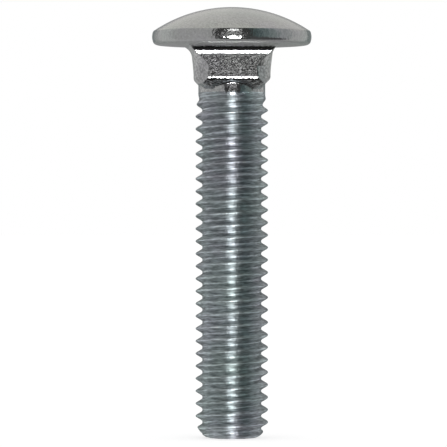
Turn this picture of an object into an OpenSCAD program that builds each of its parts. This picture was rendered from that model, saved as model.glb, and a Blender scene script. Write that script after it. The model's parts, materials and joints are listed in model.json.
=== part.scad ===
// Round-head square-neck carriage bolt with a 3/8 in coarse thread, one solid piece of steel.
// Millimetres. The shank's axis is Z, and the bolt stands on its threaded end with its head up.
// Depths are measured down from the bearing face, which is the flat underside of the head.

/* [Head] */
// Length of the bolt, from the bearing face to the threaded end
bolt_len = 50.0; // [30:0.5:60]
// Widest diameter of the head, at the middle of its rim
head_d = 20.3; // [18:0.1:23]
// Head height, from the bearing face to the top of the dome
head_h = 4.81; // [4.5:0.01:5.3]
// Radius of the dome
dome_r = 17.8; // [16:0.1:25]
// Height of the rim's widest line above the bearing face
rim_mid = 1.02; // [0.9:0.01:1.2]
// Radius of the rim's bulge, seen in section
rim_bulge_r = 1.95; // [1.7:0.01:2.6]
// Radius of the edge between the rim and the bearing face
rim_edge_r = 0.6; // [0.2:0.01:0.8]
// Radius of the edge between the rim and the dome
dome_edge_r = 0.3; // [0.1:0.01:0.6]

/* [Square neck] */
// Width across the flats of the neck, at their lower edge
neck_w = 9.58; // [9.35:0.01:9.9]
// Diameter across the neck's four rounded corners
neck_corner_d = 11.46; // [11:0.01:12]
// Depth of the lower edge of the flats
neck_depth = 4.39; // [4:0.01:5.5]
// Depth at which the flats begin to lean outwards
flat_lean_depth = 3.6; // [2.5:0.01:3.9]
// How far each flat has leant outwards where its fillet begins
flat_lean = 0.17; // [0:0.01:0.3]
// Radius of the fillet between a flat and the head
neck_fillet_r = 1.65; // [1:0.01:2]
// Angle at which that fillet meets the bearing face, in degrees
fillet_end_angle = 21.5; // [0:0.5:30]
// Radius of the lower edge of the flats
neck_edge_r = 0.7; // [0.1:0.01:0.9]
// Depth at which the corners begin to flare
corner_flare_depth = 2.85; // [2:0.01:3.5]
// Radius of the corners' flare, seen in section
corner_flare_r = 6.2; // [5:0.1:9]
// Slope of the flare where it begins, in degrees from the axis
corner_flare_slope = 23; // [15:1:30]
// Depth of the lower end of the corners' round wall
corner_depth = 4.98; // [4.6:0.01:5.6]
// Slope of the ledge under each corner, in degrees from level
ledge_slope = 28; // [10:1:45]

/* [Shank and thread] */
// Diameter of the plain shank under the neck
shank_d = 8.52; // [8.3:0.01:9]
// Thread pitch, which is 16 turns to the inch
thread_pitch = 1.5875; // [1.3:0.0125:2]
// Outside diameter of the thread
thread_d = 9.25; // [9.2:0.01:9.5]
// Diameter at the bottom of the thread
root_d = 7.5; // [7.4:0.01:7.7]
// Width of the flat along the crest
crest_w = 0.14; // [0.08:0.01:0.25]
// Depth at which the thread has faded into the shank
fade_depth = 6.15; // [6:0.05:15]
// Length over which it fades
fade_len = 2.4; // [1:0.1:5]
// Height of the crest above the threaded end, on the +X side
crest_start = 0.4274; // [0:0.0001:1.3]

/* [Point] */
// Radius of the flat of the threaded end
end_flat_r = 2.65; // [2.4:0.01:3]
// Radius of the edge between that flat and the bevel
end_edge_r = 1.6; // [0.5:0.01:1.7]
// Slope of the bevel that cuts through the last turn, in degrees from the axis
bevel = 33; // [25:1:45]

/* [Hidden] */
$fn = 96;
// Flat sides to one turn of the thread, which stands in for a true helix
turn_sides = 36;
// Angle of each flank of the thread from square across the axis
flank = 30;
// The thread's top stands out from the shank by this much, so that the two join cleanly
thread_step = 0.03;
// How far solids that join run into one another
sink = 0.3;
// Lengths that only have to reach past the solid they cut
reach = 3;

thread_top = bolt_len - fade_depth;

function unit(v) = v / norm(v);

// Where two circles meet, on the right hand going from the first centre to the second
function meet(c1, r1, c2, r2) =
    let (
        d = norm(c2 - c1),
        along = (d * d + r1 * r1 - r2 * r2) / (2 * d),
        u = unit(c2 - c1)
    )
    c1 + along * u + sqrt(r1 * r1 - along * along) * [u[1], -u[0]];

// The part of a disc beyond its chord from p to q, on the right hand going from p to q
module bow(centre, r, p, q) {
    u = unit(q - p);
    out = r * [u[1], -u[0]];
    intersection() {
        translate(centre) circle(r);
        polygon([p, q, q + out, p + out]);
    }
}

// Half of the head's section, with its underside on the X axis
module head_section() {
    bulge = [head_d / 2 - rim_bulge_r, rim_mid];
    dome = [0, head_h - dome_r];
    // lower edge of the rim
    low_gap = rim_bulge_r - rim_edge_r;
    low = [bulge[0] + sqrt(low_gap * low_gap - pow(rim_mid - rim_edge_r, 2)), rim_edge_r];
    low_foot = [low[0], 0];
    low_touch = bulge + rim_bulge_r * unit(low - bulge);
    // edge between the rim and the dome
    high = meet(dome, dome_r - dome_edge_r, bulge, rim_bulge_r - dome_edge_r);
    high_touch = bulge + rim_bulge_r * unit(high - bulge);
    dome_touch = dome + dome_r * unit(high - dome);
    polygon([[0, 0], low_foot, low_touch, high_touch, dome_touch, [0, dome_touch[1]]]);
    bow(low, rim_edge_r, low_foot, low_touch);
    bow(bulge, rim_bulge_r, low_touch, high_touch);
    bow(high, dome_edge_r, high_touch, dome_touch);
    intersection() {
        translate(dome) circle(dome_r);
        translate([0, dome_touch[1]]) square([dome_touch[0], head_h]);
    }
}

module head() {
    translate([0, 0, bolt_len])
        rotate_extrude()
            head_section();
}

// Outline of the neck across two opposite flats, with the fillets that spread under the head
module neck_outline() {
    flat = neck_w / 2;
    foot = bolt_len - neck_depth;
    lean = bolt_len - flat_lean_depth;
    spread = flat + flat_lean + neck_fillet_r;
    fillet_z = bolt_len - neck_fillet_r * cos(fillet_end_angle);
    setback = neck_edge_r * tan(45 / 2);
    edge_top = [flat, foot + setback];
    edge_low = [flat, foot] - setback * [cos(45), sin(45)];
    // below the edge, each side tapers at 45 degrees to a point inside the shank
    taper_end = [0, edge_low[1] - edge_low[0]];
    side = [
        taper_end, edge_low, edge_top, [flat, lean], [flat + flat_lean, fillet_z],
        [spread, fillet_z], [spread, bolt_len + sink], [0, bolt_len + sink]
    ];
    difference() {
        union()
            for (m = [0, 1])
                mirror([m, 0]) {
                    polygon(side);
                    bow([flat - neck_edge_r, edge_top[1]], neck_edge_r, edge_low, edge_top);
                }
        for (m = [-1, 1])
            translate([m * spread, fillet_z]) circle(neck_fillet_r);
    }
}

// Half section of the round form that the neck's corners are cut to
module corner_section() {
    wall = neck_corner_d / 2;
    ledge = bolt_len - corner_depth;
    flare = bolt_len - corner_flare_depth;
    inner = shank_d / 2 - sink;
    wide = wall + reach;
    ledge_end = ledge - (wall - inner) * tan(ledge_slope);
    flare_centre = [wall, flare] + corner_flare_r * [cos(corner_flare_slope), -sin(corner_flare_slope)];
    difference() {
        polygon([
            [0, ledge_end], [inner, ledge_end], [wall, ledge], [wall, flare],
            [wide, flare], [wide, bolt_len + sink], [0, bolt_len + sink]
        ]);
        intersection() {
            translate(flare_centre) circle(corner_flare_r);
            translate([0, flare]) square(2 * wide);
        }
    }
}

module neck() {
    intersection() {
        rotate([90, 0, 0])
            linear_extrude(head_d, center = true)
                neck_outline();
        rotate([90, 0, 90])
            linear_extrude(head_d, center = true)
                neck_outline();
        rotate_extrude()
            corner_section();
    }
}

module shank() {
    translate([0, 0, thread_top])
        cylinder(h = fade_depth + sink, d = shank_d);
}

// A turn of the thread is four rows of points: the crest's two edges, then the root's two
root_w = thread_pitch - crest_w - (thread_d - root_d) * tan(flank);
row_rise = [-crest_w / 2, crest_w / 2, (thread_pitch - root_w) / 2, (thread_pitch + root_w) / 2];
first_crest = crest_start - 2 * thread_pitch;
turns = ceil((thread_top - first_crest) / thread_pitch) + 1;
rows = 4 * turns;

function row_z(row, side) =
    first_crest + thread_pitch * (floor(row / 4) + side / turn_sides) + row_rise[row % 4];
// 1 along the thread, and down to 0 over the fade
function fullness(z) =
    let (t = max(0, min(1, (thread_top - z) / fade_len)))
    t * t * (3 - 2 * t);
function row_r(row, z) =
    let (
        start = shank_d / 2 + thread_step,
        full = (row % 4 < 2 ? thread_d : root_d) / 2
    )
    start + (full - start) * fullness(z);
function thread_point(row, side) =
    let (z = row_z(row, side), r = row_r(row, z), a = 360 * side / turn_sides)
    [r * cos(a), r * sin(a), z];
// Number of a point. Past the last side of a turn, a row goes on as the same row of the next turn
function at(row, side) =
    side < turn_sides ? row * turn_sides + side : (row + 4) * turn_sides;

// A spiral wall of the thread's profile, closed below and above by fans around the axis
module thread_blank() {
    last = rows - 1;
    last_side = turn_sides - 1;
    points = [for (row = [0:last], side = [0:last_side]) thread_point(row, side)];
    low_centre = len(points);
    high_centre = low_centre + 1;
    centres = [[0, 0, row_z(2, 0)], [0, 0, row_z(last, 0)]];
    walls = [
        for (side = [0:last_side], row = [0:last - (side < last_side ? 1 : 5)])
            let (a = at(row, side), b = at(row + 1, side), c = at(row + 1, side + 1), d = at(row, side + 1))
            each [[a, b, c], [a, c, d]]
    ];
    low_loop = [
        for (side = [0:turn_sides]) at(0, side),
        for (row = [3:-1:0]) at(row, 0)
    ];
    high_loop = [
        for (side = [0:last_side]) at(last, side),
        for (row = [last - 1:-1:last - 4]) at(row, last_side),
        at(last, 0)
    ];
    low_fan = [for (i = [1:len(low_loop) - 1]) [low_centre, low_loop[i - 1], low_loop[i]]];
    high_fan = [for (i = [1:len(high_loop) - 1]) [high_centre, high_loop[i], high_loop[i - 1]]];
    polyhedron(points = concat(points, centres), faces = concat(walls, low_fan, high_fan));
}

// Half section of what the point and the top of the thread leave of the spiral
module point_section() {
    wide = thread_d / 2 + reach;
    edge = [end_flat_r, end_edge_r];
    foot = [end_flat_r, 0];
    touch = edge + end_edge_r * [cos(bevel), -sin(bevel)];
    polygon([
        [0, 0], foot, touch, [wide, touch[1] + (wide - touch[0]) / tan(bevel)],
        [wide, thread_top], [0, thread_top]
    ]);
    bow(edge, end_edge_r, foot, touch);
}

module thread() {
    intersection() {
        thread_blank();
        rotate_extrude()
            point_section();
    }
}

module carriage_bolt() {
    color([0.68, 0.71, 0.74])
        union() {
            head();
            neck();
            shank();
            thread();
        }
}

carriage_bolt();
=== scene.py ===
import json
import math

import bmesh
import bpy
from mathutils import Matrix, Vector


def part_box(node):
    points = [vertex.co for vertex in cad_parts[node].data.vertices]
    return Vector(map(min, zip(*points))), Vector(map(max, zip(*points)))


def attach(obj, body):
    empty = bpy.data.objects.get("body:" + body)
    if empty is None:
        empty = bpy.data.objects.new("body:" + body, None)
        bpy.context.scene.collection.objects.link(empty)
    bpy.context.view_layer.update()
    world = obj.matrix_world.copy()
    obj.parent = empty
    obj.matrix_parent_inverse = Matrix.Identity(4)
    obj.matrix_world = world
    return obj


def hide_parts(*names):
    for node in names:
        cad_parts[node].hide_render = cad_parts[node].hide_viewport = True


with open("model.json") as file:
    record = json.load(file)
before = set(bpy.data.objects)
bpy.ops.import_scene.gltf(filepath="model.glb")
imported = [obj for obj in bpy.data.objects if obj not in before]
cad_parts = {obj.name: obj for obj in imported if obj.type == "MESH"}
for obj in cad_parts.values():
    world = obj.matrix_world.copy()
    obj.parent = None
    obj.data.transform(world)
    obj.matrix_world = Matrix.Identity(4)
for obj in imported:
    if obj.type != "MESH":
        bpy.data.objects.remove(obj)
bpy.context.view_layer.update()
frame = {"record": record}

# One round-head square-neck carriage bolt, rolled and forged from one piece of steel and zinc plated.
# It stands on its threaded end. The bolt's own sizes are in millimetres, and MM turns them to metres.
MM = 0.001
bolt_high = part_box("carriage_bolt")[1]
mounts = {mount["name"]: mount for mount in frame["record"]["mounts"]}

# Head
BEARING = mounts["under_head"]["pos_m"][2] / MM
TOP = bolt_high.z / MM
HEAD_R = bolt_high.x / MM
DOME_R = 17.8
RIM_MID = 1.02
RIM_BULGE_R = 1.95
RIM_EDGE_R = 0.6
DOME_EDGE_R = 0.3

# Square neck. A flat is the face across one side of the square
FLAT = 9.58 / 2
FLAT_FOOT = BEARING - mounts["square_neck"]["dims"]["length_mm"]
FLAT_LEAN_Z = BEARING - 3.6
FLAT_LEAN = 0.17
FILLET_R = 1.65
FILLET_Z = BEARING - FILLET_R * math.cos(math.radians(21.5))
FOOT_EDGE_R = 0.7
CORNER_R = 11.46 / 2
LEDGE_Z = BEARING - 4.98
LEDGE_SLOPE = math.tan(math.radians(28))
FLARE_Z = BEARING - 2.85
FLARE_R = 6.2
FLARE_SLOPE = math.radians(23)
# Reach over which the neck's outer edges are rounded, and its hollow ones
NECK_ROUND = 0.05
HOLLOW_ROUND = 0.15

# Shank and thread
SHANK_R = 8.52 / 2
PITCH = 1.5875
THREAD_R = mounts["thread"]["dims"]["r_mm"]
ROOT_R = 7.5 / 2
CREST_W = 0.2
CREST_START = 0.4274
FADE_TOP = BEARING - 6.15
FADE_LEN = 2.4
# How far a flank comes in for each millimetre along the thread
FLANK_RISE = 1 / math.tan(math.radians(30))
# Reach over which the crest, the root and the edge of the bevel are rounded
CREST_ROUND = 0.3
ROOT_ROUND = 0.2
POINT_ROUND = 0.15

# Point
END_FLAT_R = 2.65
END_EDGE_R = 1.6
BEVEL = math.radians(33)

# Columns of vertices round the bolt, and rows to one turn of the thread
EIGHTH = 18
COLUMNS = 8 * EIGHTH
ROWS_PER_TURN = 14
# Height of the ring on the plain shank where the thread's mesh meets the neck's
SEAM_Z = FADE_TOP + 0.1
# Vertices nearer than this are one
WELD = 0.001 * MM

# Marks in the finish. All but the patches are drawn coarser than real, so that they show
GRAIN = 0.3
STREAK_LENGTH = 3.6
STREAK_WIDTH = 0.28
PATCH = 7.0
# Roughness of the forged head and neck, of the head's underside, and of the rolled thread
GLOSS = 0.12
UNDERSIDE = 0.6
FROST = 0.52

# The camera, level and far off, with the photograph's framing
CAMERA_AZIMUTH = math.radians(-2.1)
CAMERA_DISTANCE = 471.0
CAMERA_Z = 28.68
IMAGE_SIDE = 447
FRAME_WIDTH = 56.9
SENSOR = 36.0
AXIS_PIXEL_X = 231.3
HORIZON_PIXEL_Y = 212.0
MIDDLE_PIXEL = 223.0

# Studio cards stand this far off, about the middle of the bolt
SCREEN_R = 900.0
SCREEN_Z = 28.0
FLOOR_SIDE = 8000.0


def add(tree, kind, wires=(), **settings):
    """One node with its settings. wires gives each input, by name or number, a value or a node's socket."""
    node = tree.nodes.new(kind)
    for name, value in settings.items():
        setattr(node, name, value)
    for key, value in dict(wires).items():
        if isinstance(value, bpy.types.NodeSocket):
            tree.links.new(value, node.inputs[key])
        else:
            node.inputs[key].default_value = value
    return node


def linear(hex_colour):
    """The linear colour of an sRGB hex value such as "#c8cbce"."""
    parts = [int(hex_colour[i:i + 2], 16) / 255 for i in (1, 3, 5)]
    return [p / 12.92 if p <= 0.04045 else ((p + 0.055) / 1.055) ** 2.4 for p in parts] + [1.0]


def soft_min(a, b, reach):
    """The smaller of two lengths, rounded off where they come within reach of each other."""
    near = max(reach - abs(a - b), 0) / reach
    return min(a, b) - near ** 3 * reach / 6


def soft_max(a, b, reach):
    return -soft_min(-a, -b, reach)


def new_finish(name):
    """A material and its node tree, still empty."""
    material = bpy.data.materials.new(name)
    material.use_nodes = True
    material.node_tree.nodes.clear()
    return material, material.node_tree


def fine_grain(tree, place):
    """Grain of the plated steel."""
    # Turned, so that the pattern's own grid does not line up with the neck's flats
    turned = add(tree, "ShaderNodeMapping", {"Vector": place, "Rotation": (0.5, 0.3, 0.7)})
    return add(tree, "ShaderNodeTexNoise", {
        "Vector": turned.outputs[0], "Scale": 1 / (GRAIN * MM), "Detail": 1.0, "Roughness": 0.6
    }).outputs["Fac"]


def film_tint(tree, place, green, middle, violet):
    """Colour of the clear passivate film, which leans from pale green to pale violet in patches."""
    patches = add(tree, "ShaderNodeTexNoise", {
        "Vector": place, "Scale": 1 / (PATCH * MM), "Detail": 3.0, "Roughness": 0.55
    })
    tint = add(tree, "ShaderNodeValToRGB", {"Fac": patches.outputs["Fac"]})
    ramp = tint.color_ramp.elements
    ramp[0].position, ramp[0].color = 0.32, linear(green)
    ramp[1].position, ramp[1].color = 0.68, linear(violet)
    ramp.new(0.5).color = linear(middle)
    return tint.outputs["Color"]


def forged_zinc():
    """Bright zinc electroplate over the forged head and neck, and over the plain shank."""
    # Mirror-like and neutral grey, but broken by the fine grain that the forging dies left in the steel
    material, tree = new_finish("forged_zinc_plate")
    place = add(tree, "ShaderNodeTexCoord").outputs["Object"]
    grain = fine_grain(tree, place)
    grained = add(tree, "ShaderNodeBump", {"Height": grain, "Distance": 0.026 * MM, "Strength": 1.0})
    # Mottle of the film's tone with painted glints and shade: the grain's high points are painted paler and
    # its hollows darker, most of all on the neck
    height = add(tree, "ShaderNodeSeparateXYZ", {0: place}).outputs["Z"]
    on_head = add(tree, "ShaderNodeMapRange", {
        "Value": height, "From Min": (BEARING - 0.4) * MM, "From Max": BEARING * MM
    }).outputs[0]
    painted_hollow_shade = add(tree, "ShaderNodeMapRange", {"Value": on_head, "To Min": 0.72, "To Max": 0.88}).outputs[0]
    clear = add(tree, "ShaderNodeMapRange", {"Value": on_head, "To Min": 1.23, "To Max": 1.08}).outputs[0]
    marks_and_glints = add(tree, "ShaderNodeMapRange", {
        "Value": grain, "From Min": 0.3, "From Max": 0.7, "To Min": painted_hollow_shade, "To Max": clear
    })
    # The head's underside and the foot of its rim keep the rougher skin of the forging
    from_seat = add(tree, "ShaderNodeMath", {0: height, 1: BEARING * MM}, operation="SUBTRACT")
    from_seat = add(tree, "ShaderNodeMath", {0: from_seat.outputs[0]}, operation="ABSOLUTE")
    polish = add(tree, "ShaderNodeMapRange", {
        "Value": from_seat.outputs[0], "From Min": 0.15 * MM, "From Max": 0.35 * MM,
        "To Min": UNDERSIDE, "To Max": GLOSS
    })
    film = film_tint(tree, place, "#b1b6b3", "#b4b5b4", "#b5b4b7")
    colour = add(tree, "ShaderNodeVectorMath", {0: film, "Scale": marks_and_glints.outputs[0]}, operation="SCALE")
    surface = add(tree, "ShaderNodeBsdfPrincipled", {
        "Base Color": colour.outputs[0], "Metallic": 1.0, "Roughness": polish.outputs[0],
        "Normal": grained.outputs["Normal"]
    })
    add(tree, "ShaderNodeOutputMaterial", {"Surface": surface.outputs["BSDF"]})
    return material


def rolled_zinc():
    """Bright zinc electroplate over the rolled thread."""
    # Cooler and more frosted than the head. The rolling dies drew fine streaks along the thread, which
    # spread each highlight up and down across them.
    material, tree = new_finish("rolled_zinc_plate")
    place = add(tree, "ShaderNodeTexCoord").outputs["Object"]
    axes = add(tree, "ShaderNodeSeparateXYZ", {0: place}).outputs
    # How far across the thread a point lies, from 0 at one root to 1 at the next, with the crest half way
    turn = add(tree, "ShaderNodeMath", {0: axes["Y"], 1: axes["X"]}, operation="ARCTAN2")
    turn = add(tree, "ShaderNodeMath", {0: turn.outputs[0], 1: math.tau}, operation="DIVIDE")
    climb = add(tree, "ShaderNodeMath", {
        0: axes["Z"], 1: 1 / (PITCH * MM), 2: 0.5 - CREST_START / PITCH
    }, operation="MULTIPLY_ADD")
    across = add(tree, "ShaderNodeMath", {0: climb.outputs[0], 1: turn.outputs[0]}, operation="SUBTRACT")
    across = add(tree, "ShaderNodeMath", {0: across.outputs[0]}, operation="FRACT")
    # The dies left no marks on the end face, where the bar was cut
    marked = add(tree, "ShaderNodeMapRange", {
        "Value": axes["Z"], "From Min": 0.0, "From Max": 0.2 * MM
    }).outputs[0]
    long = add(tree, "ShaderNodeVectorMath", {0: place, "Scale": 1 / (STREAK_LENGTH * MM)}, operation="SCALE")
    lift = add(tree, "ShaderNodeMath", {0: across.outputs[0], 1: PITCH / STREAK_WIDTH}, operation="MULTIPLY")
    lift = add(tree, "ShaderNodeMath", {0: lift.outputs[0], 1: marked}, operation="MULTIPLY")
    lifted = add(tree, "ShaderNodeCombineXYZ", {"Z": lift.outputs[0]})
    drawn_place = add(tree, "ShaderNodeVectorMath", {
        0: long.outputs[0], 1: lifted.outputs[0]
    }, operation="ADD")
    streaks = add(tree, "ShaderNodeTexNoise", {
        "Vector": drawn_place.outputs[0], "Scale": 1.0, "Detail": 1.0
    }).outputs["Fac"]
    drawn = add(tree, "ShaderNodeBump", {"Height": streaks, "Distance": 0.05 * MM, "Strength": 1.0})
    grained = add(tree, "ShaderNodeBump", {
        "Height": fine_grain(tree, place), "Distance": 0.03 * MM, "Strength": 1.0,
        "Normal": drawn.outputs["Normal"]
    })
    # The dies burnished the crest and the root, and these lines are painted paler as a painted highlight that
    # fades out 0.12 mm off, with the flanks between painted a little darker
    plain = 0.94
    from_root = add(tree, "ShaderNodeMath", {0: across.outputs[0], 1: 0.5}, operation="PINGPONG")
    from_line = add(tree, "ShaderNodeMath", {0: from_root.outputs[0], 1: 0.25}, operation="PINGPONG")
    line_highlight_peak = add(tree, "ShaderNodeMapRange", {"Value": marked, "To Min": plain, "To Max": 1.5}).outputs[0]
    painted_line_highlight = add(tree, "ShaderNodeMapRange", {
        "Value": from_line.outputs[0], "From Min": 0.03, "From Max": 0.12 / PITCH,
        "To Min": line_highlight_peak, "To Max": plain
    })
    # The streaks' high lines are painted paler and their low lines darker, a painted highlight streaking over
    # the streaks' own tone
    marks_and_glints = add(tree, "ShaderNodeMapRange", {
        "Value": streaks, "From Min": 0.35, "From Max": 0.65, "To Min": 0.7, "To Max": 1.25
    })
    # Finer streaks lie between them, half as wide and a quarter as long, painted paler and darker in the same
    # way
    finer_place = add(tree, "ShaderNodeVectorMath", {
        0: drawn_place.outputs[0], 1: (4, 4, 2)
    }, operation="MULTIPLY")
    finer = add(tree, "ShaderNodeTexNoise", {"Vector": finer_place.outputs[0], "Scale": 1.0, "Detail": 1.0})
    finer_marks_and_glints = add(tree, "ShaderNodeMapRange", {
        "Value": finer.outputs["Fac"], "From Min": 0.35, "From Max": 0.65, "To Min": 0.7, "To Max": 1.3
    })
    # Just under the neck the dies barely touched the shank, which keeps its forged gloss
    touched = add(tree, "ShaderNodeMapRange", {
        "Value": axes["Z"], "From Min": (SEAM_Z - 0.5) * MM, "From Max": SEAM_Z * MM,
        "To Min": 1.0, "To Max": 0.0
    }).outputs[0]
    frost = add(tree, "ShaderNodeMapRange", {"Value": touched, "To Min": GLOSS, "To Max": FROST}).outputs[0]
    film = film_tint(tree, place, "#a8b4b3", "#abb4b7", "#b0b2ba")
    bright = add(tree, "ShaderNodeMath", {0: marks_and_glints.outputs[0], 1: painted_line_highlight.outputs[0]}, operation="MULTIPLY")
    bright = add(tree, "ShaderNodeMath", {
        0: bright.outputs[0], 1: finer_marks_and_glints.outputs[0]
    }, operation="MULTIPLY")
    colour = add(tree, "ShaderNodeVectorMath", {0: film, "Scale": bright.outputs[0]}, operation="SCALE")
    along = add(tree, "ShaderNodeVectorMath", {0: (0, 0, 1), 1: place}, operation="CROSS_PRODUCT")
    along = add(tree, "ShaderNodeVectorMath", {0: along.outputs[0]}, operation="NORMALIZE")
    # The tangent runs round the bolt, along the streaks, and the gloss spreads a quarter turn from it
    surface = add(tree, "ShaderNodeBsdfPrincipled", {
        "Base Color": colour.outputs[0], "Metallic": 1.0, "Roughness": frost, "Anisotropic": 0.9,
        "Anisotropic Rotation": 0.25, "Tangent": along.outputs[0], "Normal": grained.outputs["Normal"]
    })
    add(tree, "ShaderNodeOutputMaterial", {"Surface": surface.outputs["BSDF"]})
    return material


def thread_tree():
    """The tree that wraps a flat grid round the shank as one helical thread with its point."""
    tree = bpy.data.node_groups.new("rolled_thread", "GeometryNodeTree")
    sizes = (
        "Pitch", "Crest radius", "Half crest", "Root radius", "Shank radius", "First crest",
        "Fade from", "Fade to", "Top", "End radius", "Edge radius", "Touch height", "Bevel rise",
        "Crest round", "Root round", "Point round"
    )
    for name in ("Columns", "Rows", "Turns"):
        tree.interface.new_socket(name, in_out="INPUT", socket_type="NodeSocketInt")
    for name in sizes:
        tree.interface.new_socket(name, in_out="INPUT", socket_type="NodeSocketFloat")
    tree.interface.new_socket("Finish", in_out="INPUT", socket_type="NodeSocketMaterial")
    tree.interface.new_socket("Thread", in_out="OUTPUT", socket_type="NodeSocketGeometry")
    given = add(tree, "NodeGroupInput").outputs

    # The grid is one turn wide and as many turns high as the thread has
    grid = add(tree, "GeometryNodeMeshGrid", {
        "Size X": 1.0, "Size Y": given["Turns"], "Vertices X": given["Columns"], "Vertices Y": given["Rows"]
    })
    flat_place = add(tree, "ShaderNodeSeparateXYZ", {0: add(tree, "GeometryNodeInputPosition").outputs[0]})
    known = {name: given[name] for name in sizes + ("Turns",)}
    known["x"] = flat_place.outputs["X"]
    known["y"] = flat_place.outputs["Y"]
    # Rows crowd together at each crest and root by this share of their even spacing
    crowding = 0.6

    sums = (
        ("turn", "ADD", "x", 0.5),
        ("half turns", "MULTIPLY", "Turns", 0.5),
        ("row", "ADD", "y", "half turns"),
        ("swing", "MULTIPLY", "row", 4 * math.pi),
        ("wave", "SINE", "swing"),
        ("shift", "MULTIPLY", "wave", crowding / (4 * math.pi)),
        ("step", "SUBTRACT", "row", "shift"),
        ("climb", "ADD", "step", "turn"),
        ("rise", "MULTIPLY", "climb", "Pitch"),
        ("free height", "ADD", "rise", "First crest"),
        ("above end", "MAXIMUM", "free height", 0.0),
        ("height", "MINIMUM", "above end", "Top"),
        # distance from the middle of the nearest crest, then the three faces of the thread
        ("next", "ADD", "step", 0.5),
        ("part", "FRACT", "next"),
        ("centred", "SUBTRACT", "part", 0.5),
        ("share", "ABSOLUTE", "centred"),
        ("from crest", "MULTIPLY", "share", "Pitch"),
        ("down flank", "SUBTRACT", "from crest", "Half crest"),
        ("drop", "MULTIPLY", "down flank", FLANK_RISE),
        ("flank", "SUBTRACT", "Crest radius", "drop"),
        ("crested", "SMOOTH_MIN", "flank", "Crest radius", "Crest round"),
        ("grooved", "SMOOTH_MAX", "crested", "Root radius", "Root round"),
        ("proud", "SUBTRACT", "grooved", "Shank radius"),
        # the point: a rounded edge, then the bevel
        ("in edge", "MINIMUM", "height", "Touch height"),
        ("under centre", "SUBTRACT", "Edge radius", "in edge"),
        ("under squared", "MULTIPLY", "under centre", "under centre"),
        ("edge squared", "MULTIPLY", "Edge radius", "Edge radius"),
        ("out squared", "SUBTRACT", "edge squared", "under squared"),
        ("not below", "MAXIMUM", "out squared", 0.0),
        ("out", "SQRT", "not below"),
        ("edge", "ADD", "out", "End radius"),
        ("past edge", "SUBTRACT", "height", "in edge"),
        ("bevelled", "MULTIPLY", "past edge", "Bevel rise"),
        ("point", "ADD", "edge", "bevelled"),
        # below the end the rows close in on the axis, which makes the flat end face
        ("below", "DIVIDE", "free height", "Pitch"),
        ("closing", "ADD", "below", 1.0),
        ("not past axis", "MAXIMUM", "closing", 0.0),
        ("open", "MINIMUM", "not past axis", 1.0)
    )
    for name, operation, *terms in sums:
        wires = {number: known.get(term, term) for number, term in enumerate(terms)}
        known[name] = add(tree, "ShaderNodeMath", wires, operation=operation).outputs[0]
    fullness = add(tree, "ShaderNodeMapRange", {
        "Value": known["height"], "From Min": known["Fade from"], "From Max": known["Fade to"],
        "To Min": 1.0, "To Max": 0.0
    }, interpolation_type="SMOOTHSTEP").outputs["Result"]
    kept = add(tree, "ShaderNodeMath", {0: known["proud"], 1: fullness}, operation="MULTIPLY").outputs[0]
    body = add(tree, "ShaderNodeMath", {0: kept, 1: known["Shank radius"]}, operation="ADD").outputs[0]
    pointed = add(tree, "ShaderNodeMath", {
        0: body, 1: known["point"], 2: known["Point round"]
    }, operation="SMOOTH_MIN").outputs[0]
    radius = add(tree, "ShaderNodeMath", {0: pointed, 1: known["open"]}, operation="MULTIPLY").outputs[0]
    angle = add(tree, "ShaderNodeMath", {0: known["turn"], 1: math.tau}, operation="MULTIPLY").outputs[0]
    section = add(tree, "ShaderNodeCombineXYZ", {"X": radius, "Z": known["height"]}).outputs[0]
    wrapped = add(tree, "ShaderNodeVectorRotate", {"Vector": section, "Angle": angle}, rotation_type="Z_AXIS")

    placed = add(tree, "GeometryNodeSetPosition", {
        "Geometry": grid.outputs["Mesh"], "Position": wrapped.outputs[0]
    })
    welded = add(tree, "GeometryNodeMergeByDistance", {"Geometry": placed.outputs[0], "Distance": WELD})
    smooth = add(tree, "GeometryNodeSetShadeSmooth", {"Geometry": welded.outputs[0]})
    real = add(tree, "GeometryNodeRealizeInstances", {"Geometry": smooth.outputs[0]})
    finished = add(tree, "GeometryNodeSetMaterial", {
        "Geometry": real.outputs[0], "Material": given["Finish"]
    })
    add(tree, "NodeGroupOutput", {0: finished.outputs[0]})
    return tree


def rolled_thread(finish):
    """The mesh of the thread, its run-out into the shank, and the point."""
    turns_below = 3
    first_crest = CREST_START - turns_below * PITCH
    turns = math.ceil((SEAM_Z - first_crest) / PITCH) + 1
    touch_z = END_EDGE_R * (1 - math.sin(BEVEL))
    values = {
        "Columns": COLUMNS + 1, "Rows": turns * ROWS_PER_TURN + 1, "Turns": turns,
        "Pitch": PITCH * MM, "Crest radius": THREAD_R * MM, "Half crest": CREST_W / 2 * MM,
        "Root radius": ROOT_R * MM, "Shank radius": SHANK_R * MM, "First crest": first_crest * MM,
        "Fade from": (FADE_TOP - FADE_LEN) * MM, "Fade to": FADE_TOP * MM, "Top": SEAM_Z * MM,
        "End radius": END_FLAT_R * MM, "Edge radius": END_EDGE_R * MM, "Touch height": touch_z * MM,
        "Bevel rise": math.tan(BEVEL), "Crest round": CREST_ROUND * MM, "Root round": ROOT_ROUND * MM,
        "Point round": POINT_ROUND * MM, "Finish": finish
    }
    holder = bpy.data.objects.new("thread_grid", bpy.data.meshes.new("thread_grid"))
    bpy.context.scene.collection.objects.link(holder)
    modifier = holder.modifiers.new("rolled_thread", "NODES")
    modifier.node_group = thread_tree()
    for socket in modifier.node_group.interface.items_tree:
        if socket.in_out == "INPUT":
            modifier[socket.identifier] = values[socket.name]
    ready = holder.evaluated_get(bpy.context.evaluated_depsgraph_get())
    mesh = bpy.data.meshes.new_from_object(ready)
    holder.modifiers.remove(modifier)
    bpy.data.objects.remove(holder)
    return mesh


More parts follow.
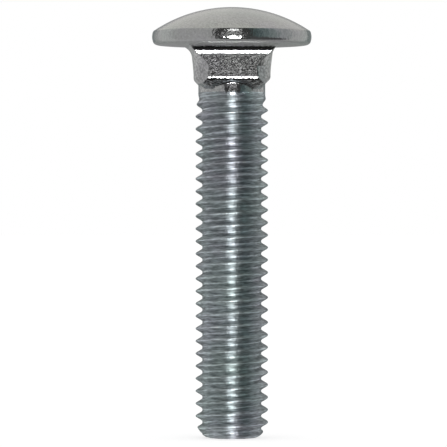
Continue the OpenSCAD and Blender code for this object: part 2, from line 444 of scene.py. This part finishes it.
def flat_x(z):
    """How far a flat lies from the axis at height z: its taper, its rounded edge, itself or its fillet."""
    setback = FOOT_EDGE_R * math.tan(math.radians(22.5))
    edge_low = FLAT_FOOT - setback * math.sin(math.radians(45))
    edge_top = FLAT_FOOT + setback
    if z < edge_low:
        return FLAT - (FLAT_FOOT - z)
    if z < edge_top:
        return FLAT - FOOT_EDGE_R + math.sqrt(FOOT_EDGE_R ** 2 - (edge_top - z) ** 2)
    if z < FILLET_Z:
        return FLAT + FLAT_LEAN * max(z - FLAT_LEAN_Z, 0) / (FILLET_Z - FLAT_LEAN_Z)
    return FLAT + FLAT_LEAN + FILLET_R - math.sqrt(FILLET_R ** 2 - (z - FILLET_Z) ** 2)


def corner_r(z):
    """Radius of the neck's rounded corners at height z: the ledge under them, their wall and their flare."""
    ledge = CORNER_R - (LEDGE_Z - z) / LEDGE_SLOPE
    flare_x = CORNER_R + FLARE_R * math.cos(FLARE_SLOPE)
    flare_z = FLARE_Z - FLARE_R * math.sin(FLARE_SLOPE)
    flare = flare_x - math.sqrt(FLARE_R ** 2 - (z - flare_z) ** 2)
    return soft_min(ledge, soft_max(CORNER_R, flare, HOLLOW_ROUND), NECK_ROUND)


def neck_point(angle, z):
    """The neck's surface at an angle from the middle of a flat: flat or corner, never inside the shank."""
    across = soft_min(flat_x(z) / math.cos(angle), corner_r(z), NECK_ROUND)
    return soft_max(SHANK_R, across, HOLLOW_ROUND)


def corner_angle(z):
    """The angle at which a flat meets a corner at height z."""
    return math.acos(min(1, flat_x(z) / corner_r(z)))


def eighth_angles(z):
    """Angles of the columns from the middle of a flat to that of a corner, crowded where the two meet."""
    crowd = (0.3, 0.14, 0.06)
    even_flat = EIGHTH // 2
    even_corner = EIGHTH - even_flat - 2 * len(crowd)
    middle = math.radians(45)
    meet = corner_angle(z)
    unit = min(1 / corner_r(z), (middle - meet) / (2 * crowd[0]))
    flat_side = [meet - offset * unit for offset in crowd]
    corner_side = [meet + offset * unit for offset in reversed(crowd)]
    angles = [flat_side[0] * i / even_flat for i in range(even_flat)]
    angles += flat_side + [meet] + corner_side
    last = corner_side[-1]
    angles += [last + (middle - last) * i / even_corner for i in range(1, even_corner + 1)]
    return angles


def eighth_heights(z):
    """Heights of those columns in the row that meets the corner at z. Under a flat it dips to the shank."""
    meet_z = shank_meet_z()
    if z >= FLAT_FOOT:
        return [z] * (EIGHTH + 1)
    share = (FLAT_FOOT - z) / (FLAT_FOOT - meet_z)
    meet = corner_angle(meet_z)
    heights = []
    for angle in eighth_angles(meet_z):
        drop = FLAT - SHANK_R * math.cos(angle)
        heights.append(FLAT_FOOT - drop * share if angle < meet else z)
    return heights


def shank_meet_z():
    """Height at which the ledge under the corners runs into the shank."""
    return LEDGE_Z - (CORNER_R - SHANK_R) * LEDGE_SLOPE


def whole_turn(eighth):
    """Values for every column, from those of one eighth of a turn, mirrored from one eighth to the next."""
    values = []
    for number in range(8):
        odd = number % 2
        for i in range(EIGHTH):
            values.append((number, eighth[EIGHTH - i if odd else i]))
    return values


def neck_ring(z):
    """One ring of points round the neck, in the row that meets the corners at height z."""
    eighth = list(zip(eighth_angles(z), eighth_heights(z)))
    ring = []
    for number, (angle, height) in whole_turn(eighth):
        start = math.radians(45) * number
        turned = start + (math.radians(45) - angle if number % 2 else angle)
        radius = neck_point(angle, height)
        ring.append(Vector((radius * math.cos(turned), radius * math.sin(turned), height)))
    return ring


def even_ring(radius, z):
    """One ring of evenly spaced points."""
    turns = [math.tau * i / COLUMNS for i in range(COLUMNS)]
    return [Vector((radius * math.cos(t), radius * math.sin(t), z)) for t in turns]


def blend_rings(first, second, share):
    return [a.lerp(b, share) for a, b in zip(first, second)]


def arc(centre, radius, start, end, steps):
    """Points along an arc in section, from one angle to another in radians, without its first."""
    turns = [start + (end - start) * i / steps for i in range(1, steps + 1)]
    return [(centre[0] + radius * math.cos(t), centre[1] + radius * math.sin(t)) for t in turns]


def head_section():
    """Points up the head's section, from the outer edge of the bearing face to just off the axis."""
    bulge = Vector((HEAD_R - RIM_BULGE_R, BEARING + RIM_MID))
    dome = Vector((0, TOP - DOME_R))
    low_gap = RIM_BULGE_R - RIM_EDGE_R
    edge_x = bulge.x + math.sqrt(low_gap ** 2 - (RIM_MID - RIM_EDGE_R) ** 2)
    edge = Vector((edge_x, BEARING + RIM_EDGE_R))
    low_turn = math.atan2(edge.y - bulge.y, edge.x - bulge.x)
    # centre of the small arc between the rim and the dome, where two circles meet
    far, near = DOME_R - DOME_EDGE_R, RIM_BULGE_R - DOME_EDGE_R
    line = bulge - dome
    along = (line.length_squared + far ** 2 - near ** 2) / (2 * line.length)
    aside = math.sqrt(far ** 2 - along ** 2)
    out = line.normalized()
    high_edge = dome + out * along + Vector((out.y, -out.x)) * aside
    high_turn = math.atan2(high_edge.y - bulge.y, high_edge.x - bulge.x)
    dome_turn = math.atan2(high_edge.y - dome.y, high_edge.x - dome.x)
    last_turn = math.radians(89.5)
    points = [(edge.x, BEARING)]
    points += arc(edge, RIM_EDGE_R, -math.pi / 2, low_turn, 8)
    points += arc(bulge, RIM_BULGE_R, low_turn, high_turn, 14)
    points += arc(high_edge, DOME_EDGE_R, high_turn, dome_turn, 4)
    points += arc(dome, DOME_R, dome_turn, last_turn, 20)
    return points


def neck_rows():
    """Heights of the neck's rows, close together at its edges."""
    meet_z = shank_meet_z()
    rows = [meet_z + step for step in (-0.1, -0.04, 0, 0.04, 0.1, 0.2, 0.33, 0.48, 0.6, 0.68, 0.73)]
    rows += [LEDGE_Z + step for step in (-0.02, 0, 0.03, 0.08, 0.16, 0.26, 0.37, 0.48)]
    rows += [FLAT_FOOT + step for step in (0, 0.06, 0.13, 0.21, 0.29, 0.45, 0.65)]
    rows += [FLAT_LEAN_Z + step for step in (0, 0.25, 0.5, 0.68)]
    rows += [FLARE_Z + step for step in (0, 0.07, 0.2, 0.45, 0.7, 0.95, 1.2)]
    fillet_steps = 12
    fillet_turn = math.asin((BEARING - FILLET_Z) / FILLET_R)
    rows += [FILLET_Z + FILLET_R * math.sin(fillet_turn * i / fillet_steps) for i in range(fillet_steps + 1)]
    return rows


def forged_end():
    """Rings up the neck and the head, from the seam on the shank to the top of the dome."""
    seam = even_ring(SHANK_R, SEAM_Z)
    neck = [neck_ring(z) for z in neck_rows()]
    rings = [seam]
    for share in (0.35, 0.7):
        mixed = blend_rings(seam, neck[0], share)
        for point in mixed:
            point.xy = point.xy.normalized() * SHANK_R
        rings.append(mixed)
    rings += neck
    section = head_section()
    rim_foot = even_ring(section[0][0], BEARING)
    rings += [blend_rings(neck[-1], rim_foot, share) for share in (0.03, 0.2, 0.45, 0.72, 0.93)]
    rings += [even_ring(radius, z) for radius, z in section]
    return rings


def bolt_mesh(rolled, forged):
    """The whole bolt as one closed mesh: the rolled thread, and on it the forged neck and head."""
    made = bmesh.new()
    thread = rolled_thread(rolled)
    made.from_mesh(thread)
    for face in made.faces:
        face.material_index = 0
    rings = [[made.verts.new(point * MM) for point in ring] for ring in forged_end()]
    for below, above in zip(rings, rings[1:]):
        for i in range(COLUMNS):
            j = (i + 1) % COLUMNS
            made.faces.new((below[i], below[j], above[j], above[i])).material_index = 1
    apex = made.verts.new((0, 0, TOP * MM))
    for i in range(COLUMNS):
        made.faces.new((rings[-1][i], rings[-1][(i + 1) % COLUMNS], apex)).material_index = 1
    bmesh.ops.remove_doubles(made, verts=made.verts, dist=WELD)
    bmesh.ops.dissolve_degenerate(made, edges=made.edges, dist=WELD / 10)
    bmesh.ops.recalc_face_normals(made, faces=made.faces)
    for face in made.faces:
        face.smooth = True
    mesh = bpy.data.meshes.new("plated_bolt")
    made.to_mesh(mesh)
    made.free()
    bpy.data.meshes.remove(thread)
    mesh.materials.append(rolled)
    mesh.materials.append(forged)
    return mesh


def glow(name, hex_colour, strength):
    """The plain brightness of a studio card."""
    material, tree = new_finish(name)
    shine = add(tree, "ShaderNodeEmission", {"Color": linear(hex_colour), "Strength": strength})
    add(tree, "ShaderNodeOutputMaterial", {"Surface": shine.outputs[0]})
    return material


def screen(name, azimuths, elevations, finish):
    """A studio card that shows only in the metal: part of a sphere round the bolt, given in degrees."""
    across, up = 12, 6
    points = []
    for k in range(up + 1):
        elevation = math.radians(elevations[0] + (elevations[1] - elevations[0]) * k / up)
        for i in range(across + 1):
            azimuth = azimuths[0] + (azimuths[1] - azimuths[0]) * i / across
            height = SCREEN_Z + SCREEN_R * math.sin(elevation)
            points.append(from_axis(azimuth, SCREEN_R * math.cos(elevation), height) * MM)
    width = across + 1
    corners = [k * width + i for k in range(up) for i in range(across)]
    mesh = bpy.data.meshes.new(name)
    mesh.from_pydata(points, [], [(c, c + 1, c + width + 1, c + width) for c in corners])
    mesh.materials.append(finish)
    piece = bpy.data.objects.new(name, mesh)
    bpy.context.scene.collection.objects.link(piece)
    piece.visible_camera = False
    piece.visible_diffuse = False
    piece.visible_transmission = False
    piece.visible_shadow = False


def from_axis(azimuth, distance, z):
    """A point at an azimuth in degrees from the camera's side of the bolt, positive to its right."""
    turn = CAMERA_AZIMUTH + math.radians(azimuth)
    return Vector((distance * math.sin(turn), -distance * math.cos(turn), z))


def make_camera():
    data = bpy.data.cameras.new("camera")
    camera = bpy.data.objects.new("camera", data)
    bpy.context.scene.collection.objects.link(camera)
    data.sensor_width = SENSOR
    data.lens = SENSOR * CAMERA_DISTANCE / FRAME_WIDTH
    data.shift_x = -(AXIS_PIXEL_X - MIDDLE_PIXEL) / IMAGE_SIDE
    data.shift_y = -(MIDDLE_PIXEL - HORIZON_PIXEL_Y) / IMAGE_SIDE
    data.clip_end = 10.0
    place = from_axis(0, CAMERA_DISTANCE, CAMERA_Z)
    camera.location = place * MM
    camera.rotation_mode = "QUATERNION"
    camera.rotation_quaternion = Vector((-place.x, -place.y, 0)).to_track_quat("-Z", "Y")
    bpy.context.scene.camera = camera


def white_world():
    """White all round, to the eye and as plain light."""
    world = bpy.data.worlds.new("white_world")
    bpy.context.scene.world = world
    world.use_nodes = True
    tree = world.node_tree
    tree.nodes.clear()
    back = add(tree, "ShaderNodeBackground", {"Color": (1, 1, 1, 1), "Strength": 1.0})
    add(tree, "ShaderNodeOutputWorld", {"Surface": back.outputs[0]})
    # The metal shows the studio's cards, which stand all round it
    world.cycles_visibility.glossy = False


def white_floor():
    """A plain white floor that keeps a soft shadow of the bolt."""
    material, tree = new_finish("white_floor")
    # To the eye it is white by itself, but for the part of its light that the bolt can keep off
    path = add(tree, "ShaderNodeLightPath").outputs
    paper = add(tree, "ShaderNodeBsdfDiffuse", {"Color": (0.4, 0.4, 0.4, 1)})
    bright = add(tree, "ShaderNodeEmission", {
        "Color": (0.65, 0.65, 0.65, 1), "Strength": path["Is Camera Ray"]
    })
    both = add(tree, "ShaderNodeAddShader", {0: paper.outputs[0], 1: bright.outputs[0]})
    add(tree, "ShaderNodeOutputMaterial", {"Surface": both.outputs[0]})
    half = FLOOR_SIDE / 2
    mesh = bpy.data.meshes.new("floor")
    corners = [(-half, -half, 0), (half, -half, 0), (half, half, 0), (-half, half, 0)]
    mesh.from_pydata([Vector(corner) * MM for corner in corners], [], [(0, 1, 2, 3)])
    mesh.materials.append(material)
    floor = bpy.data.objects.new("floor", mesh)
    bpy.context.scene.collection.objects.link(floor)
    floor.visible_glossy = False
    floor.visible_shadow = False


def studio():
    """Grey cards all round, with a dark gap and bright boxes in front, which give the metal its tones."""
    # Each card's name, its azimuths and elevations, its grey and its strength
    greys = (
        ("back_left_low_card", (-180, -135), (-90, -40), "#b8b8b8", 1.0),
        ("back_gap_left", (-180, -172), (-40, 20), "#a8a8a8", 1.0),
        ("back_left_dark_card", (-172, -150), (-40, 20), "#8e9494", 1.0),
        ("back_left_card", (-150, -135), (-40, 20), "#b8bab9", 1.0),
        ("back_left_high_card", (-180, -135), (20, 60), "#e4e3df", 1.0),
        ("left_rear_card", (-135, -100), (-90, 60), "#dadada", 1.0),
        ("left_side_card", (-100, -60), (-90, 60), "#c6c6c6", 1.0),
        ("left_card", (-60, -26), (-90, 60), "#c6c6c6", 1.0),
        ("front_low_card", (-26, 30), (-90, -37), "#181818", 1.0),
        ("left_of_box", (-26, -4), (-37, -20), "#303030", 1.0),
        ("front_box", (-4, 9), (-37, -20), "#ffffff", 34.0),
        ("right_of_box", (9, 30), (-37, -20), "#303030", 1.0),
        ("left_of_camera", (-26, -14), (-20, 20), "#484848", 1.0),
        ("front_slat_1", (-14, 16), (-20, -15), "#202020", 1.0),
        ("front_slat_2", (-14, 16), (-15, -11), "#ffffff", 1.05),
        ("front_slat_3", (-14, 16), (-11, -3), "#202020", 1.0),
        ("front_slat_4", (-14, 16), (-3, 1), "#ffffff", 1.05),
        ("front_slat_5", (-14, 16), (1, 9), "#202020", 1.0),
        ("front_slat_6", (-14, 16), (9, 13), "#ffffff", 1.05),
        ("front_slat_7", (-14, 16), (13, 20), "#202020", 1.0),
        ("right_of_camera", (16, 30), (-20, 20), "#484848", 1.0),
        ("left_of_bar", (-26, -4), (20, 36), "#484848", 1.0),
        ("front_bar", (-4, 10), (20, 36), "#ffffff", 2.5),
        ("right_of_bar", (10, 30), (20, 36), "#484848", 1.0),
        ("front_high_card", (-26, 30), (36, 60), "#484848", 1.0),
        ("dark_card", (30, 44), (-20, 60), "#5c6b6b", 1.0),
        ("right_card", (44, 58), (-20, 60), "#7c8a89", 1.0),
        ("right_card_2", (58, 72), (-20, 60), "#949f9d", 1.0),
        ("right_side_card", (72, 98), (-20, 60), "#b4b7b8", 1.0),
        ("right_low_card", (30, 90), (-90, -20), "#5a5a5a", 1.0),
        ("right_side_low_card", (90, 98), (-90, -20), "#989898", 1.0),
        ("right_rear_card", (98, 112), (-90, 60), "#cccccc", 1.0),
        ("back_right_low_card", (112, 180), (-90, -40), "#b8b8b8", 1.0),
        ("back_right_card", (112, 142), (-40, 20), "#d0d0d0", 1.0),
        ("back_right_dark_card", (142, 169), (-40, 20), "#8a9090", 1.0),
        ("back_gap_right", (169, 180), (-40, 20), "#a8a8a8", 1.0),
        ("back_right_high_card", (112, 180), (20, 60), "#dddcd9", 1.0),
        ("top_card", (-180, 180), (60, 90), "#e6e5e0", 1.0)
    )
    for name, azimuths, elevations, grey, strength in greys:
        screen(name, azimuths, elevations, glow(name, grey, strength))


bolt = bpy.data.objects.new("plated_bolt", bolt_mesh(rolled_zinc(), forged_zinc()))
bpy.context.scene.collection.objects.link(bolt)
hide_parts("carriage_bolt")
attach(bolt, "root")

white_world()
white_floor()
studio()
make_camera()
bpy.context.scene.view_settings.view_transform = "Standard"
